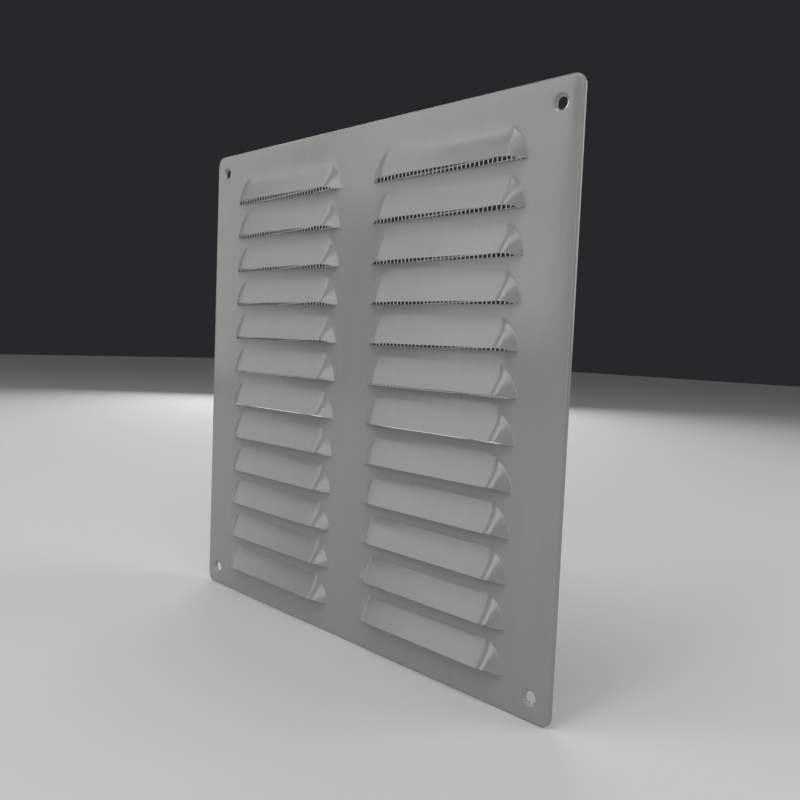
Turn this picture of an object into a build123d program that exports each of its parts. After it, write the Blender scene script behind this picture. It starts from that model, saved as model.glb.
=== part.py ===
"""Square louvred wall vent: one pressed sheet with two columns of hooded slits, and an insect mesh behind it.

The vent stands upright as it does on a wall. +Z is up, the face looks along -Y, and the origin is the
centre of the plane that the turned-back rim rests on. All sizes are in millimetres.
"""
import os
from math import acos, atan2, cos, degrees, floor, hypot, radians, sin, tan

from build123d import *

# Sheet and rim
panel_width = 250.0
panel_height = 250.0
sheet = 0.6
corner_radius = 5.0
rim_depth = 1.8          # front face to the back edge of the rim
rim_bend_inside = 0.4    # inside radius of the bend between the face and the rim
margin_width = 4.0       # soft bevel that runs round the face, up to the rim
margin_fall = 0.25       # how far that bevel falls back

# Louvres
column_count = 2
side_margin = 23.6       # panel's edge to the ends of the hoods
column_gap = 23.6        # hood end to hood end between the columns
top_margin = 15.4        # panel's edge to the line where the top hoods leave the face
bottom_margin = 12.0     # least plain strip below the lowest slit
hood_height = 12.3       # lip to the line where the hood leaves the face
hood_projection = 5.0    # outside of the lip in front of the face
end_radius = 16.0        # rounding of the hood's ends, where they leave the face
end_slope = 31.0         # degrees between the flank of an end and the face
crown_radius = 5.5       # outside of the bend between the hood's slope and its flanks
root_radius = 1.5        # outside of the bend where the hood leaves the face
slit_gap = 1.0           # lip to the cut line, which is the lower edge of the slit
slit_end_cover = 1.3     # end of the hood past the end of the slit
lip_end_run = 6.5        # stretch at each end in which the lip comes down to the cut line
row_land = 5.5           # plain sheet between a slit and the hood below it

# Fixing holes, each in a pressed dimple
hole_diameter = 5.0
hole_inset = 10.0        # hole centres to the panel's edges
dimple_diameter = 7.8    # where the dimple leaves the face
dimple_depth = 0.9       # face to the front edge of the hole
dimple_bend_inside = 0.2

# Mesh, and the bead that bonds it to the back of the sheet
mesh_wire = 0.45
mesh_overlap = 5.0       # mesh past the ends of the hoods
mesh_bar = 4.0           # width of one bar of the mesh wall
mesh_crest = 2.4         # flat top of the ridge on a bar
gaps_per_louvre = 5
bead_thickness = 0.2
bead_width = 3.0

# Places that follow from these sizes
face_y = -rim_depth
back_y = face_y + sheet
hood_length = (panel_width - 2 * side_margin - (column_count - 1) * column_gap) / column_count
slit_half = hood_length / 2 - slit_end_cover
field_half_width = panel_width / 2 - side_margin
column_pitch = hood_length + column_gap
row_pitch = hood_height + slit_gap + row_land
row_space = panel_height - top_margin - bottom_margin - hood_height - slit_gap
row_count = floor(row_space / row_pitch) + 1
top_lip_z = panel_height / 2 - top_margin - hood_height
top_land_z = top_lip_z + hood_height + row_land / 2
hole_radius = hole_diameter / 2
hole_x = panel_width / 2 - hole_inset
hole_z = panel_height / 2 - hole_inset
mesh_front_y = back_y + bead_thickness
mesh_back_y = mesh_front_y + 2 * mesh_wire
column_xs = [(i - (column_count - 1) / 2) * column_pitch for i in range(column_count)]
lip_zs = [top_lip_z - i * row_pitch for i in range(row_count)]
land_zs = [top_land_z - i * row_pitch for i in range(row_count + 1)]
hole_places = [(side * hole_x, end * hole_z) for side in (-1, 1) for end in (-1, 1)]

# A louvre is pressed in a tile of sheet that reaches to the middle of the land above it
tile_border = row_land / 2
tile_half = hood_length / 2 + tile_border
tile_top = hood_height + tile_border

# The forms that it is pressed with start behind the sheet, where the ridge of the hood has run out
form_depth = 2 * sheet
slope_angle = atan2(hood_projection, hood_height)
flank_angle = radians(end_slope)
ridge_run_out = form_depth / tan(slope_angle) - form_depth / tan(flank_angle) + sheet
end_z = hood_height + ridge_run_out - end_radius


def facing_plane(y):
    """Plane parallel to the face: its x is X, its y is Z, and it looks to the front."""
    return Plane(origin=(0, y, 0), x_dir=(1, 0, 0), z_dir=(0, -1, 0))


def upright_plane(x, y):
    """Plane across a louvre: its x runs up from the level of the lip, its y runs out to the front."""
    return Plane(origin=(x, y, 0), x_dir=(0, 0, 1), z_dir=(1, 0, 0))


def tray(inset):
    """Block of the panel's outline, set in all round, with the bevel of the face and the bend of the rim."""
    depth = rim_depth - inset
    outline = RectangleRounded(panel_width - 2 * inset, panel_height - 2 * inset, corner_radius - inset)
    block = extrude(facing_plane(0) * outline, depth)
    bevel_width = margin_width - inset
    bevel_fall = margin_fall * bevel_width / margin_width
    face = block.faces().sort_by(Axis.Y)[0]
    block = chamfer(face.edges(), bevel_width, bevel_fall, reference=face)
    edge_y = bevel_fall - depth
    near = bevel_fall / 4
    rim_edges = block.edges().filter_by_position(Axis.Y, edge_y - near, edge_y + near)
    return fillet(rim_edges, rim_bend_inside + sheet - inset)


def louvre_form(inset):
    """Block with the shape of a louvre's face or, with the sheet as its inset, of its back.

    Its slope and flanks start behind the sheet and run on past the cut line, so that every bend is whole where
    the sheet is cut. Its bends and the foot of the hood follow the inset, which keeps the sheet even.
    """
    level_y = face_y + inset
    base_y = face_y + form_depth
    depth = form_depth - inset
    low_z = -slit_gap - sheet
    near = sheet / 4
    slope_foot = hood_height - inset * tan(slope_angle / 2) + depth / tan(slope_angle)
    flank_foot = end_radius - inset * tan(flank_angle / 2) + depth / tan(flank_angle)
    flank_peak = flank_foot * tan(flank_angle)
    half_run = hood_length / 2 - end_radius
    half_reach = half_run + flank_foot

    end_plane = Plane(origin=(half_run, base_y, end_z), x_dir=(0, 0, -1), z_dir=(-1, 0, 0))
    end_section = make_face(Polyline((0, 0), (flank_foot, 0), (0, flank_peak), close=True))
    right_end = revolve(end_plane * end_section, Axis((half_run, 0, end_z), (0, -1, 0)), 180)
    run_section = make_face(Polyline(
        (end_z - flank_foot, 0), (end_z + flank_foot, 0), (end_z, flank_peak), (end_z - flank_foot, flank_peak),
        close=True,
    ))
    run = extrude(upright_plane(-half_run, base_y) * run_section, 2 * half_run)
    slope_section = make_face(Polyline(
        (low_z, 0), (slope_foot, 0), (low_z, (slope_foot - low_z) * tan(slope_angle)), close=True,
    ))
    raised = run + right_end + mirror(right_end, about=Plane.YZ)
    raised &= extrude(upright_plane(-half_reach, base_y) * slope_section, 2 * half_reach)

    slope_normal = Vector(0, -cos(slope_angle), sin(slope_angle))
    slope = raised.faces().sort_by(lambda face: face.normal_at().dot(slope_normal))[-1]
    crown = slope.edges().filter_by_position(Axis.Z, low_z + near, slope_foot)
    crown = crown.filter_by_position(Axis.Y, base_y - flank_peak, base_y - near)
    raised = fillet(crown, crown_radius - inset)

    slab_half = tile_half + end_radius
    slab_top = tile_top + end_radius
    slab_outline = Pos(0, (slab_top + low_z) / 2) * Rectangle(2 * slab_half, slab_top - low_z)
    block = raised + extrude(facing_plane(base_y) * slab_outline, depth)
    root = block.edges().filter_by_position(Axis.Y, level_y - near, level_y + near)
    root = root.filter_by_position(Axis.X, -half_reach, half_reach)
    root = root.filter_by_position(Axis.Z, low_z + near, slope_foot)
    return fillet(root, root_radius + inset)


def louvre():
    """One louvre about the middle of its lip: the sheet between its two forms, down to the lip line.

    The lip is straight, and at each end an S of two arcs brings it down to the cut line, where the slit ends.
    """
    lip_half = slit_half - lip_end_run
    bend = (lip_end_run ** 2 + slit_gap ** 2) / (4 * slit_gap)
    turn = degrees(atan2(lip_end_run / 2, bend - slit_gap / 2))
    kept = make_face([
        Line((-lip_half, 0), (lip_half, 0)),
        CenterArc((lip_half, -bend), bend, 90, -turn),
        CenterArc((slit_half, bend - slit_gap), bend, 270, -turn),
        Polyline(
            (slit_half, -slit_gap), (tile_half, -slit_gap), (tile_half, tile_top),
            (-tile_half, tile_top), (-tile_half, -slit_gap), (-slit_half, -slit_gap),
        ),
        CenterArc((-slit_half, bend - slit_gap), bend, 270, turn),
        CenterArc((-lip_half, -bend), bend, 90, turn),
    ])
    pressed = louvre_form(0) - louvre_form(sheet)
    return pressed & extrude(facing_plane(0) * kept, rim_depth + 2 * hood_projection)


def louvre_window():
    """Cutter for the place of a louvre's tile in the plain sheet."""
    outline = Pos(0, (tile_top - slit_gap) / 2) * Rectangle(2 * tile_half, tile_top + slit_gap)
    return extrude(facing_plane(0) * outline, 2 * rim_depth)


def dimple():
    """Ring of sheet pressed back round a hole, about the hole's axis."""
    bend = dimple_bend_inside + sheet
    rim_radius = dimple_diameter / 2
    reach = rim_radius - hole_radius
    slack = bend - dimple_depth
    turn = atan2(reach, slack) - acos(bend / hypot(reach, slack))
    across = Vector(-sin(turn), cos(turn))
    down = Vector(-cos(turn), -sin(turn))
    bend_centre = Vector(rim_radius, -bend)
    front_start = bend_centre + across * bend
    front_end = front_start + down * ((front_start.X - hole_radius + sheet) / cos(turn))
    back_start = front_start - across * sheet
    back_end = front_end - across * sheet
    section = make_face([
        CenterArc(bend_centre, bend, 90, degrees(turn)),
        Line(front_start, front_end),
        Line(front_end, back_end),
        Line(back_end, back_start),
        CenterArc(bend_centre, bend - sheet, 90, degrees(turn)),
        Line((rim_radius, -sheet), (rim_radius, 0)),
    ])
    plane = Plane(origin=(0, face_y, 0), x_dir=(1, 0, 0), z_dir=(0, 0, -1))
    return revolve(plane * section, Axis((0, 0, 0), (0, -1, 0)), 360)


def louvre_panel():
    """The pressed sheet: tray, louvres and dimpled holes."""
    louvre_places = [Pos(x, 0, z) for x in column_xs for z in lip_zs]
    dimple_places = [Pos(x, 0, z) for x, z in hole_places]
    window = louvre_window()
    seat = extrude(facing_plane(0) * Circle(dimple_diameter / 2), 2 * rim_depth)
    bore = extrude(facing_plane(rim_depth) * Circle(hole_radius), 3 * rim_depth)
    raised = louvre()
    pressed = dimple()
    shell = tray(0) - tray(sheet)
    shell -= [place * window for place in louvre_places] + [place * seat for place in dimple_places]
    shell += [place * raised for place in louvre_places] + [place * pressed for place in dimple_places]
    shell -= [place * bore for place in dimple_places]
    return shell


def bar_section(crest_y, foot_y):
    """Section of a ridge on the mesh wall, in the plane of its width and depth."""
    return make_face(Polyline(
        (-mesh_bar / 2, foot_y), (-mesh_crest / 2, crest_y), (mesh_crest / 2, crest_y), (mesh_bar / 2, foot_y),
        close=True,
    ))


mesh_half_width = field_half_width + mesh_overlap
mesh_half_height = (land_zs[0] - land_zs[-1] + mesh_bar) / 2
mesh_mid_z = (land_zs[0] + land_zs[-1]) / 2
bar_count = gaps_per_louvre * column_count + 1
bar_pitch = (2 * mesh_half_width - mesh_bar) / (bar_count - 1)
bar_xs = [(i - (bar_count - 1) / 2) * bar_pitch for i in range(bar_count)]


def insect_mesh():
    """The mesh as one wall: gaps behind the louvres, upright ridges on its front and level ones on its back."""
    wall_front = mesh_front_y + mesh_wire / 2
    wall_back = mesh_back_y - mesh_wire / 2
    wall = Pos(0, mesh_mid_z) * Rectangle(2 * mesh_half_width, 2 * mesh_half_height)
    gap = Rectangle(bar_pitch - mesh_bar, row_pitch - mesh_bar)
    gap_places = [
        Pos((left + right) / 2, (upper + lower) / 2)
        for left, right in zip(bar_xs, bar_xs[1:])
        for upper, lower in zip(land_zs, land_zs[1:])
    ]
    wall -= [place * gap for place in gap_places]
    mesh = extrude(facing_plane(wall_back) * wall, wall_back - wall_front)
    upright_foot = Pos(0, 0, mesh_mid_z - mesh_half_height)
    upright = extrude(upright_foot * bar_section(mesh_front_y, wall_front), 2 * mesh_half_height)
    level_plane = Plane(origin=(-mesh_half_width, 0, 0), x_dir=(0, 0, -1), z_dir=(1, 0, 0))
    level = extrude(level_plane * bar_section(mesh_back_y, wall_back), 2 * mesh_half_width)
    mesh += [Pos(x, 0, 0) * upright for x in bar_xs]
    mesh += [Pos(0, 0, z) * level for z in land_zs]
    return mesh


def mesh_bead():
    """Bead of adhesive round the mesh and up its middle, flat between the sheet and the mesh."""
    width = bar_xs[-1] - bar_xs[0]
    height = land_zs[0] - land_zs[-1]
    ring = Rectangle(width + bead_width, height + bead_width) - Rectangle(width - bead_width, height - bead_width)
    bead = Pos(0, mesh_mid_z) * (ring + Rectangle(bead_width, height))
    return extrude(facing_plane(mesh_front_y) * bead, bead_thickness)


os.makedirs("parts", exist_ok=True)
export_step(louvre_panel(), "parts/louvre_panel.step")
export_step(insect_mesh(), "parts/insect_mesh.step")
export_step(mesh_bead(), "parts/mesh_bead.step")
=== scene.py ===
"""Looks of the louvred wall vent: satin grey paint, woven wire mesh, sealant and a plain studio."""
import math

import bmesh
import bpy
import numpy as np
from mathutils import Euler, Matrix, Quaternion, Vector
from mathutils.bvhtree import BVHTree


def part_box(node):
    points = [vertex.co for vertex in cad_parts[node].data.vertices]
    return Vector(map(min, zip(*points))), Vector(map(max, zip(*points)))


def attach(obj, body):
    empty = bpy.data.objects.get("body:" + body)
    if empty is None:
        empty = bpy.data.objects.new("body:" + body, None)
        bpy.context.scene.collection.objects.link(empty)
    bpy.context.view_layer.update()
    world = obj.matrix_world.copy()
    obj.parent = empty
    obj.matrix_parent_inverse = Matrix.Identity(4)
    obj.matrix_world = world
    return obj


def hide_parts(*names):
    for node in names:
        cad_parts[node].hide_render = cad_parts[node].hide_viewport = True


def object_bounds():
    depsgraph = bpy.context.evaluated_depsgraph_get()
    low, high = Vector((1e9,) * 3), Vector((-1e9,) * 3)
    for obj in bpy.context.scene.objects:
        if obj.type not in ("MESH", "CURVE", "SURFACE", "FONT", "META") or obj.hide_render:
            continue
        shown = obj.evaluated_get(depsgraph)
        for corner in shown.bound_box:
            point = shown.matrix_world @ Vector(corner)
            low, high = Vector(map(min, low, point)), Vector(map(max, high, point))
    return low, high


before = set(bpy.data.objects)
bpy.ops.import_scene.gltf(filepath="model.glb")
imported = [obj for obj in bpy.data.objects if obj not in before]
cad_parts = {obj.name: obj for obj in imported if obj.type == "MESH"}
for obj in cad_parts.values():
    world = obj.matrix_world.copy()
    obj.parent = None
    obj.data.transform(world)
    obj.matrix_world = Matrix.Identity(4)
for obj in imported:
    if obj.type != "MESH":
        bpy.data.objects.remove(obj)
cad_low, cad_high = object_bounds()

SHEET_NODE, MESH_NODE, BEAD_NODE = "louvre_panel", "insect_mesh", "mesh_bead"
ACROSS, INTO_FACE, UP = (1, 0, 0), (0, 1, 0), (0, 0, 1)

# Camera, in metres, fitted to the photo's outline of the panel
IMAGE_SIDE = 800
FOCAL_PIXELS = 816.4
SENSOR_WIDTH = 36.0      # millimetres
CAMERA_PLACE = Vector((0.30068, -0.26005, 0.02355))
CAMERA_AIM = Vector((0.03553, -0.0022, -0.00333))
CAMERA_ROLL = math.radians(2.34)
CAMERA_NEAR = 0.01

# Louvres, in metres, as the solid has them
COLUMN_XS = (-0.0566, 0.0566)
HOOD_LENGTH = 0.0896
TOP_LIP_Z = 0.0973
ROW_PITCH = 0.0188
ROW_COUNT = 12
SLIT_GAP = 0.001

# Easing of the louvres' bends, in metres
EASE_ACROSS = 0.0012
EASE_UP = 0.0024
EASE_GRID = 0.0004
EASE_REACHES = 3         # how many times its reach the easing's bell curve goes on
SHARP_ROOT = 0.004       # stretch at each end of a hood whose foot stays crisp
SOFT_ROOT = 0.014        # from here inwards the foot is fully eased
GRID_END = 1.001         # keeps a place on the grid before its last point, so that there is a next one

# Cuts of the sheet into a tile for each louvre, and into small faces, in metres
TILE_BORDER = 0.004
END_ZONE = 0.02
CUT_ACROSS = 0.0022
CUT_UP = 0.0016
CUT_NEAR = 1e-7
BY_COLUMN, BY_ROW = 0, 1
SHARP_ANGLE = math.radians(35)

# Woven mesh, in metres; each wave of its sway has its radians per metre of x and z, its start and its share
WIRE_PITCH = 0.0024
WIRE_SIDES = 6
MESH_SKEW = math.radians(2.5)
MESH_SWAY = 0.00018
SWAY_WAVES_X = ((0, 31, 0.7, 1.0), (83, 57, 0.0, 0.6))
SWAY_WAVES_Z = ((37, 0, 1.9, 1.0), (71, -49, 0.4, 0.6))

# Noise: scales are per metre, and a span is the part of the noise's range that a pattern is drawn from
NOISE_MIDDLE = (0.3, 0.7)

# Paint
PAINT_DARK = (0.25, 0.25, 0.246, 1)
PAINT_LIGHT = (0.259, 0.259, 0.254, 1)
PAINT_ROUGHNESS = (0.13, 0.19)
PAINT_RELIEF = 0.0002
STREAK_SCALE = 260
STREAK_STRETCH = (1, 1, 0.06)
STREAK_SPAN = (0.35, 0.65)
SPECK_COLOUR = (0.2, 0.2, 0.196, 1)
SPECK_SCALE = 1500
SPECK_SPAN = (0.66, 0.74)
SPECK_SHARE = 0.25
SMUDGE_SCALE = 28
WAVE_SCALE = 75
WAVE_STRENGTH = 0.5
PEEL_SCALE = 900
PEEL_STRENGTH = 0.06

# Chipped paint round the lower right hole
HOLE_INSET = 0.01
CHIPPED_HOLE = Vector((cad_high.x - HOLE_INSET, cad_high.y, cad_low.z + HOLE_INSET))
CHIP_REACH = 0.0036
CHIP_END = 1.2 * CHIP_REACH
CHIP_SCALE = 700
CHIP_SPAN = (0.58, 0.61)
BARE_METAL = (0.45, 0.45, 0.44, 1)

# Galvanised wire: its light grey is lifted near white, painted light that makes up for the shade the wire
# sits in behind the sheet
WIRE_DARK = (0.84, 0.84, 0.83, 1)
WIRE_LIGHT = (0.94, 0.94, 0.92, 1)
WIRE_ROUGHNESS = (0.28, 0.4)
WIRE_METALLIC = 0.15
SPANGLE_SCALE = 420

# Sealant
SEALANT_DARK = (0.27, 0.265, 0.25, 1)
SEALANT_LIGHT = (0.35, 0.34, 0.32, 1)
SEALANT_ROUGHNESS = (0.5, 0.7)
SEALANT_RELIEF = 0.0006
LUMP_SCALE = 240
LUMP_STRENGTH = 0.5

# Studio
FLOOR_SIZE = 8
FLOOR_COLOUR = (0.62, 0.62, 0.62, 1)
FLOOR_ROUGHNESS = 0.9
AMBIENT = (0.12, 0.12, 0.12, 1)
BACKDROP = (0.02, 0.021, 0.022, 1)

# Softboxes: angles in degrees as the panel sees them, bearings to the right of straight before the face
LIGHT_DISTANCE = 1.5
SOFTBOXES = {
    "key_softbox": dict(bearing=4.5, height=20, width=17, tallness=51, radiance=3.3),
    "fill_softbox": dict(bearing=-40.5, height=30, width=25, tallness=36, radiance=1.75),
    "low_fill_softbox": dict(bearing=-35.5, height=7, width=15, tallness=10, radiance=1.9),
    "left_softbox": dict(bearing=-62, height=21, width=17, tallness=50, radiance=1.0),
    "right_softbox": dict(bearing=68, height=36, width=24, tallness=64, radiance=1.8),
    "top_softbox": dict(bearing=0, height=66, width=80, tallness=30, radiance=3.2),
    "back_left_softbox": dict(bearing=-130, height=20, width=40, tallness=40, radiance=2.6),
    "back_right_softbox": dict(bearing=130, height=20, width=40, tallness=40, radiance=2.6),
}


def new_material(name):
    """A node material, its node tree and its shader."""
    material = bpy.data.materials.new(name)
    material.use_nodes = True
    tree = material.node_tree
    return material, tree, tree.nodes["Principled BSDF"]


def add_node(tree, kind, inputs=None, **settings):
    """A node with its settings, and with its inputs set to values or linked to sockets."""
    node = tree.nodes.new(kind)
    for name, value in settings.items():
        setattr(node, name, value)
    for name, value in (inputs or {}).items():
        if isinstance(value, bpy.types.NodeSocket):
            tree.links.new(value, node.inputs[name])
        else:
            node.inputs[name].default_value = value
    return node


def object_place(tree):
    """Place on the object, in metres."""
    return add_node(tree, "ShaderNodeTexCoord").outputs["Object"]


def noise(tree, place, scale, detail, stretch=(1, 1, 1)):
    """Noise by place on the object, drawn out along the axes that stretch makes small."""
    mapping = add_node(tree, "ShaderNodeMapping", {"Vector": place, "Scale": stretch})
    inputs = {"Vector": mapping.outputs["Vector"], "Scale": scale, "Detail": detail}
    return add_node(tree, "ShaderNodeTexNoise", inputs).outputs["Fac"]


def spread(tree, value, span, target=(0, 1)):
    """A value taken from one range into another, and held there."""
    low, high = span
    to_low, to_high = target
    inputs = {"Value": value, "From Min": low, "From Max": high, "To Min": to_low, "To Max": to_high}
    return add_node(tree, "ShaderNodeMapRange", inputs).outputs["Result"]


def blend_colours(tree, share, first, second):
    """The first colour where the share is 0 and the second where it is 1, each a value or a socket."""
    node = add_node(tree, "ShaderNodeMix", data_type="RGBA")
    tree.links.new(share, node.inputs["Factor"])
    for socket, colour in (("A", first), ("B", second)):
        target = [s for s in node.inputs if s.name == socket and s.type == "RGBA"][0]
        if isinstance(colour, bpy.types.NodeSocket):
            tree.links.new(colour, target)
        else:
            target.default_value = colour
    return [s for s in node.outputs if s.type == "RGBA"][0]


def maths(tree, operation, first, second):
    """What an operation makes of two values."""
    return add_node(tree, "ShaderNodeMath", {0: first, 1: second}, operation=operation).outputs["Value"]


def bumps(tree, height, strength, relief, under=None):
    """Normal of a bumpy surface, laid over another normal where one is given."""
    inputs = {"Height": height, "Strength": strength, "Distance": relief}
    if under is not None:
        inputs["Normal"] = under
    return add_node(tree, "ShaderNodeBump", inputs).outputs["Normal"]


def mottle(tree, shader, pattern, dark, light, roughness):
    """Give a shader a colour and a roughness that follow one noise."""
    colour = blend_colours(tree, spread(tree, pattern, NOISE_MIDDLE), dark, light)
    tree.links.new(colour, shader.inputs["Base Color"])
    tree.links.new(spread(tree, pattern, NOISE_MIDDLE, roughness), shader.inputs["Roughness"])


def chips(tree, place):
    """Where the paint is off: flecks of noise within reach of one hole."""
    from_hole = add_node(tree, "ShaderNodeVectorMath", {0: place, 1: CHIPPED_HOLE}, operation="DISTANCE")
    near_hole = spread(tree, from_hole.outputs["Value"], (CHIP_REACH, CHIP_END), (1, 0))
    flecks = spread(tree, noise(tree, place, CHIP_SCALE, detail=3), CHIP_SPAN)
    return maths(tree, "MULTIPLY", flecks, near_hole)


def paint_material():
    """Grey satin paint: faint upright streaks, specks, chips, smudged gloss, shallow waves, orange peel."""
    material, tree, shader = new_material("satin_paint")
    place = object_place(tree)
    streaks = spread(tree, noise(tree, place, STREAK_SCALE, detail=3, stretch=STREAK_STRETCH), STREAK_SPAN)
    specks = spread(tree, noise(tree, place, SPECK_SCALE, detail=2), SPECK_SPAN, (0, SPECK_SHARE))
    colour = blend_colours(tree, streaks, PAINT_DARK, PAINT_LIGHT)
    colour = blend_colours(tree, specks, colour, SPECK_COLOUR)
    colour = blend_colours(tree, chips(tree, place), colour, BARE_METAL)
    tree.links.new(colour, shader.inputs["Base Color"])
    smudges = noise(tree, place, SMUDGE_SCALE, detail=5)
    tree.links.new(spread(tree, smudges, NOISE_MIDDLE, PAINT_ROUGHNESS), shader.inputs["Roughness"])
    waves = bumps(tree, noise(tree, place, WAVE_SCALE, detail=1), WAVE_STRENGTH, PAINT_RELIEF)
    peel = bumps(tree, noise(tree, place, PEEL_SCALE, detail=2), PEEL_STRENGTH, PAINT_RELIEF, waves)
    tree.links.new(peel, shader.inputs["Normal"])
    return material


def wire_material():
    """Dull galvanised wire whose light grey is lifted near white: painted light that makes up for the shade
    behind the sheet.
    """
    material, tree, shader = new_material("galvanised_wire_painted_bright")
    spangle = noise(tree, object_place(tree), SPANGLE_SCALE, detail=4)
    # mottled between two near-white tones: partly the wire's own light grey, partly painted light
    mottle(tree, shader, spangle, WIRE_DARK, WIRE_LIGHT, WIRE_ROUGHNESS)
    shader.inputs["Metallic"].default_value = WIRE_METALLIC
    return material


def sealant_material():
    """Matt grey sealant with an uneven, slightly lumpy surface."""
    material, tree, shader = new_material("sealant")
    lumps = noise(tree, object_place(tree), LUMP_SCALE, detail=4)
    mottle(tree, shader, lumps, SEALANT_DARK, SEALANT_LIGHT, SEALANT_ROUGHNESS)
    tree.links.new(bumps(tree, lumps, LUMP_STRENGTH, SEALANT_RELIEF), shader.inputs["Normal"])
    return material


def dress(piece, material):
    """Give a piece its one material."""
    piece.data.materials.clear()
    piece.data.materials.append(material)


def new_piece(name, vertices, faces):
    """A smooth-shaded piece in the scene."""
    mesh = bpy.data.meshes.new(name)
    mesh.from_pydata(vertices, [], faces)
    mesh.shade_smooth()
    piece = bpy.data.objects.new(name, mesh)
    bpy.context.scene.collection.objects.link(piece)
    return piece


def bend_shift(sheet):
    """How far easing moves the bends of a louvre along y, on a grid from its lip up to the next slit."""
    tree = BVHTree.FromBMesh(sheet)
    across = np.arange(-HOOD_LENGTH / 2 - TILE_BORDER, HOOD_LENGTH / 2 + TILE_BORDER, EASE_GRID)
    up = np.arange(EASE_GRID / 2, ROW_PITCH - SLIT_GAP, EASE_GRID)
    before_face = 2 * cad_low.y
    depths = np.array([
        [tree.ray_cast((COLUMN_XS[0] + x, before_face, TOP_LIP_Z + z), INTO_FACE)[0].y for x in across]
        for z in up
    ])
    eased = depths
    for axis, reach in ((0, EASE_UP), (1, EASE_ACROSS)):
        steps = int(EASE_REACHES * reach / EASE_GRID)
        weights = np.exp(-0.5 * (np.arange(-steps, steps + 1) * EASE_GRID / reach) ** 2)
        sides = ((steps, steps), (0, 0)) if axis == 0 else ((0, 0), (steps, steps))
        padded = np.pad(eased, sides, mode="reflect", reflect_type="odd")
        eased = np.apply_along_axis(np.convolve, axis, padded, weights / weights.sum(), mode="valid")
    shift = eased - depths
    from_end = HOOD_LENGTH / 2 - np.abs(across)
    soft = np.clip((from_end - SHARP_ROOT) / (SOFT_ROOT - SHARP_ROOT), 0, 1)
    return across, up, np.where(shift < 0, shift * soft, shift)


def shift_at(x, z, across, up, shift):
    """The shift at a place on a louvre, taken between the four points of the grid round it."""
    step_x = min(max((x - across[0]) / EASE_GRID, 0), len(across) - GRID_END)
    step_z = min(max((z - up[0]) / EASE_GRID, 0), len(up) - GRID_END)
    i, j = int(step_z), int(step_x)
    part_z, part_x = step_z - i, step_x - j
    lower = shift[i, j] * (1 - part_x) + shift[i, j + 1] * part_x
    upper = shift[i + 1, j] * (1 - part_x) + shift[i + 1, j + 1] * part_x
    return lower * (1 - part_z) + upper * part_z


def cut(sheet, faces, place, normal):
    """Cut faces of a mesh by a plane, and give all the faces that they now are."""
    edges = {edge for face in faces for edge in face.edges}
    corners = {corner for face in faces for corner in face.verts}
    geometry = [*corners, *edges, *faces]
    made = bmesh.ops.bisect_plane(sheet, geom=geometry, dist=CUT_NEAR, plane_co=place, plane_no=normal)
    return [item for item in made["geom"] if isinstance(item, bmesh.types.BMFace)]


def tile_of(point):
    """Column and row of the louvre whose tile of sheet a point is in, or nothing."""
    row = math.floor((TOP_LIP_Z + ROW_PITCH - SLIT_GAP - point.z) / ROW_PITCH)
    for column, x in enumerate(COLUMN_XS):
        if abs(point.x - x) < HOOD_LENGTH / 2 + TILE_BORDER and 0 <= row < ROW_COUNT:
            return column, row
    return None


def by_tile(faces, part):
    """Faces of the louvres' tiles, grouped by column or by row."""
    groups = {}
    for face in faces:
        tile = tile_of(face.calc_center_median())
        if tile:
            groups.setdefault(tile[part], []).append(face)
    return groups.items()


def cut_finer(sheet):
    """Cut the sheet into a tile for each louvre, and each tile into small faces where its bends are."""
    faces = sheet.faces[:]
    half = HOOD_LENGTH / 2 + TILE_BORDER
    for x in COLUMN_XS:
        for side in (-half, half):
            faces = cut(sheet, faces, (x + side, 0, 0), ACROSS)
    for row in range(ROW_COUNT + 1):
        faces = cut(sheet, faces, (0, 0, TOP_LIP_Z - SLIT_GAP - (row - 1) * ROW_PITCH), UP)
    for row, row_faces in by_tile(sheet.faces, BY_ROW):
        for z in np.arange(CUT_UP, ROW_PITCH - SLIT_GAP, CUT_UP):
            row_faces = cut(sheet, row_faces, (0, 0, TOP_LIP_Z - row * ROW_PITCH + z), UP)
    for column, column_faces in by_tile(sheet.faces, BY_COLUMN):
        for inwards in np.arange(-TILE_BORDER / 2, END_ZONE, CUT_ACROSS):
            for side in (-1, 1):
                x = COLUMN_XS[column] + side * (HOOD_LENGTH / 2 - inwards)
                column_faces = cut(sheet, column_faces, (x, 0, 0), ACROSS)


def eased_sheet(material):
    """The pressed sheet with soft bends, as paint and pressing leave them, in the form of its solid."""
    sheet = bmesh.new()
    sheet.from_mesh(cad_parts[SHEET_NODE].data)
    bmesh.ops.remove_doubles(sheet, verts=sheet.verts, dist=CUT_NEAR)
    across, up, shift = bend_shift(sheet)
    cut_finer(sheet)
    for corner in sheet.verts:
        tile = tile_of(corner.co)
        if tile:
            column, row = tile
            x = corner.co.x - COLUMN_XS[column]
            z = corner.co.z - TOP_LIP_Z + row * ROW_PITCH
            corner.co.y += shift_at(x, z, across, up, shift)
    sheet.verts.index_update()
    vertices = [corner.co for corner in sheet.verts]
    faces = [[corner.index for corner in face.verts] for face in sheet.faces]
    piece = new_piece("pressed_sheet", vertices, faces)
    sheet.free()
    piece.data.set_sharp_from_angle(angle=SHARP_ANGLE)
    dress(piece, material)
    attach(piece, "root")
    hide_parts(SHEET_NODE)


def sway(x, z, waves):
    """Small smooth shift of the mesh in its own plane, as loosely laid wire has."""
    heights = [share * math.sin(by_x * x + by_z * z + start) for by_x, by_z, start, share in waves]
    return MESH_SWAY * sum(heights)


def wire_radius(low, high):
    """Radius at which two wires that cross, one on the other, fill the thickness of the mesh."""
    return (high.y - low.y) / 4


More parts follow.
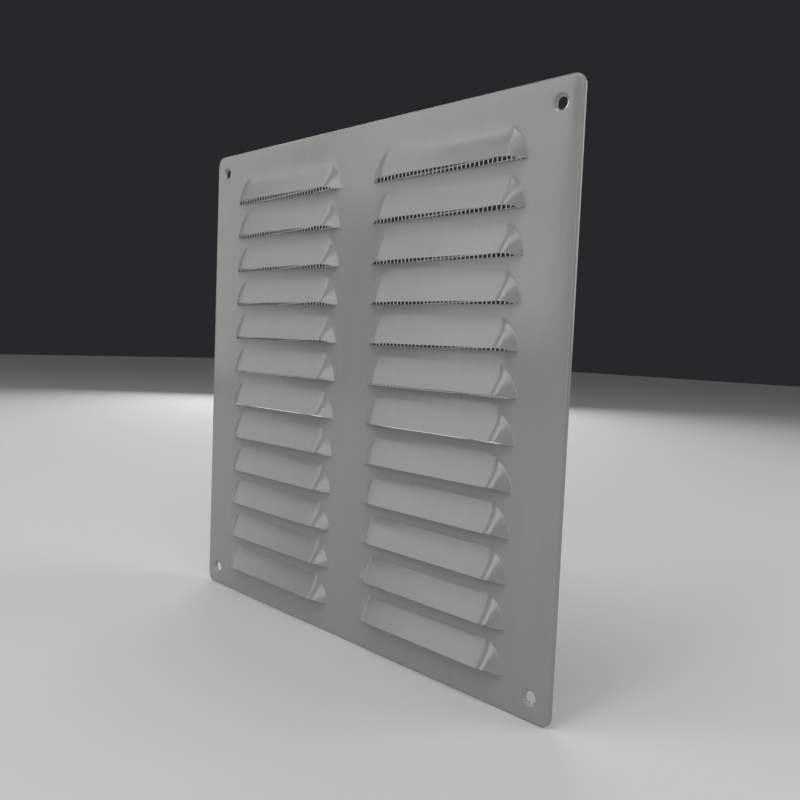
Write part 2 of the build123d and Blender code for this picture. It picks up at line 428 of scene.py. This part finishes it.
def wire_points(index, along, across, low, high, reach, lead):
    """Points of one wire at its crossings, cut off at the edge of the mesh."""
    middle = (low + high) / 2
    radius = wire_radius(low, high)
    points = []
    for step in range(-reach, reach + 1):
        x = middle.x + WIRE_PITCH * (step * along[0] + index * across[0])
        z = middle.z + WIRE_PITCH * (step * along[1] + index * across[1])
        side = lead if (index + step) % 2 else -lead
        y = middle.y + side * radius
        points.append(Vector((x + sway(x, z, SWAY_WAVES_X), y, z + sway(x, z, SWAY_WAVES_Z))))
    return trimmed(points, low, high, radius)


def trimmed(points, low, high, radius):
    """The run of points inside the mesh's edge, with an end on the edge at each side."""
    def outside(point):
        past_x = max(low.x + radius - point.x, point.x - high.x + radius)
        past_z = max(low.z + radius - point.z, point.z - high.z + radius)
        return max(past_x, past_z)

    run = []
    for before, after in zip(points, points[1:]):
        if outside(before) <= 0:
            run.append(before)
        if (outside(before) <= 0) != (outside(after) <= 0):
            share = outside(before) / (outside(before) - outside(after))
            run.append(before.lerp(after, share))
    return run


def woven_wires(name, along, across, low, high, lead):
    """All the wires of one direction, as round tubes in one mesh."""
    radius = wire_radius(low, high)
    reach = int((high - low).length / WIRE_PITCH)
    side_axis = Vector((-along[1], 0, along[0]))
    ring = [
        radius * (math.cos(angle) * side_axis + math.sin(angle) * Vector(INTO_FACE))
        for angle in [math.pi / 2 + 2 * math.pi * i / WIRE_SIDES for i in range(WIRE_SIDES)]
    ]
    vertices, faces = [], []
    for index in range(-reach, reach + 1):
        run = wire_points(index, along, across, low, high, reach, lead)
        if len(run) < 2:
            continue
        start = len(vertices)
        vertices.extend(point + offset for point in run for offset in ring)
        for i in range(len(run) - 1):
            base = start + i * WIRE_SIDES
            for j in range(WIRE_SIDES):
                after = (j + 1) % WIRE_SIDES
                faces.append((base + j, base + after, base + WIRE_SIDES + after, base + WIRE_SIDES + j))
        faces.append(tuple(reversed(range(start, start + WIRE_SIDES))))
        faces.append(tuple(range(len(vertices) - WIRE_SIDES, len(vertices))))
    return new_piece(name, vertices, faces)


def woven_mesh(material):
    """The fine mesh that stands for the CAD wall of bars and ridges, in that wall's own box."""
    low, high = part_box(MESH_NODE)
    level = (math.cos(MESH_SKEW), math.sin(MESH_SKEW))
    upright = (-math.sin(MESH_SKEW), math.cos(MESH_SKEW))
    for name, along, across, lead in (("weft_wires", level, upright, 1), ("warp_wires", upright, level, -1)):
        piece = woven_wires(name, along, across, low, high, lead)
        dress(piece, material)
        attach(piece, "root")
        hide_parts(MESH_NODE)


def camera():
    """The photo's camera."""
    data = bpy.data.cameras.new("camera")
    data.sensor_width = SENSOR_WIDTH
    data.lens = SENSOR_WIDTH * FOCAL_PIXELS / IMAGE_SIDE
    data.clip_start = CAMERA_NEAR
    camera_object = bpy.data.objects.new("camera", data)
    bpy.context.scene.collection.objects.link(camera_object)
    look = (CAMERA_AIM - CAMERA_PLACE).to_track_quat("-Z", "Y")
    camera_object.rotation_mode = "QUATERNION"
    camera_object.rotation_quaternion = look @ Quaternion((0, 0, 1), CAMERA_ROLL)
    camera_object.location = CAMERA_PLACE
    bpy.context.scene.camera = camera_object


def softbox(name, bearing, height, width, tallness, radiance):
    """Flat light that faces the panel, as large as its angles say, with a given radiance on its lit face."""
    data = bpy.data.lights.new(name, "AREA")
    data.shape = "RECTANGLE"
    data.size = LIGHT_DISTANCE * math.radians(width) * math.cos(math.radians(height))
    data.size_y = LIGHT_DISTANCE * math.radians(tallness)
    data.energy = radiance * math.pi * data.size * data.size_y
    light = bpy.data.objects.new(name, data)
    bpy.context.scene.collection.objects.link(light)
    turn = Euler((math.radians(90 - height), 0, math.radians(bearing)))
    light.rotation_euler = turn
    light.location = turn.to_matrix() @ Vector((0, 0, LIGHT_DISTANCE))
    light.visible_camera = False


def paper_floor():
    """Plain floor under the panel."""
    bpy.ops.mesh.primitive_plane_add(size=FLOOR_SIZE, location=(0, 0, cad_low.z))
    floor = bpy.context.object
    floor.name = "floor"
    material, _, shader = new_material("floor_paper")
    shader.inputs["Base Color"].default_value = FLOOR_COLOUR
    shader.inputs["Roughness"].default_value = FLOOR_ROUGHNESS
    floor.data.materials.append(material)


def surroundings():
    """Soft light from all round on matt surfaces, and a dark backdrop in view and in reflections."""
    world = bpy.data.worlds.new("studio")
    bpy.context.scene.world = world
    world.use_nodes = True
    tree = world.node_tree
    rays = add_node(tree, "ShaderNodeLightPath")
    seen = rays.outputs["Is Camera Ray"]
    for name in ("Is Glossy Ray", "Is Transmission Ray"):
        seen = maths(tree, "MAXIMUM", seen, rays.outputs[name])
    colour = blend_colours(tree, seen, AMBIENT, BACKDROP)
    tree.links.new(colour, tree.nodes["Background"].inputs["Color"])


eased_sheet(paint_material())
dress(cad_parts[BEAD_NODE], sealant_material())
woven_mesh(wire_material())
camera()
paper_floor()
surroundings()
for name, measures in SOFTBOXES.items():
    softbox(name, **measures)
bpy.context.scene.view_settings.view_transform = "Standard"
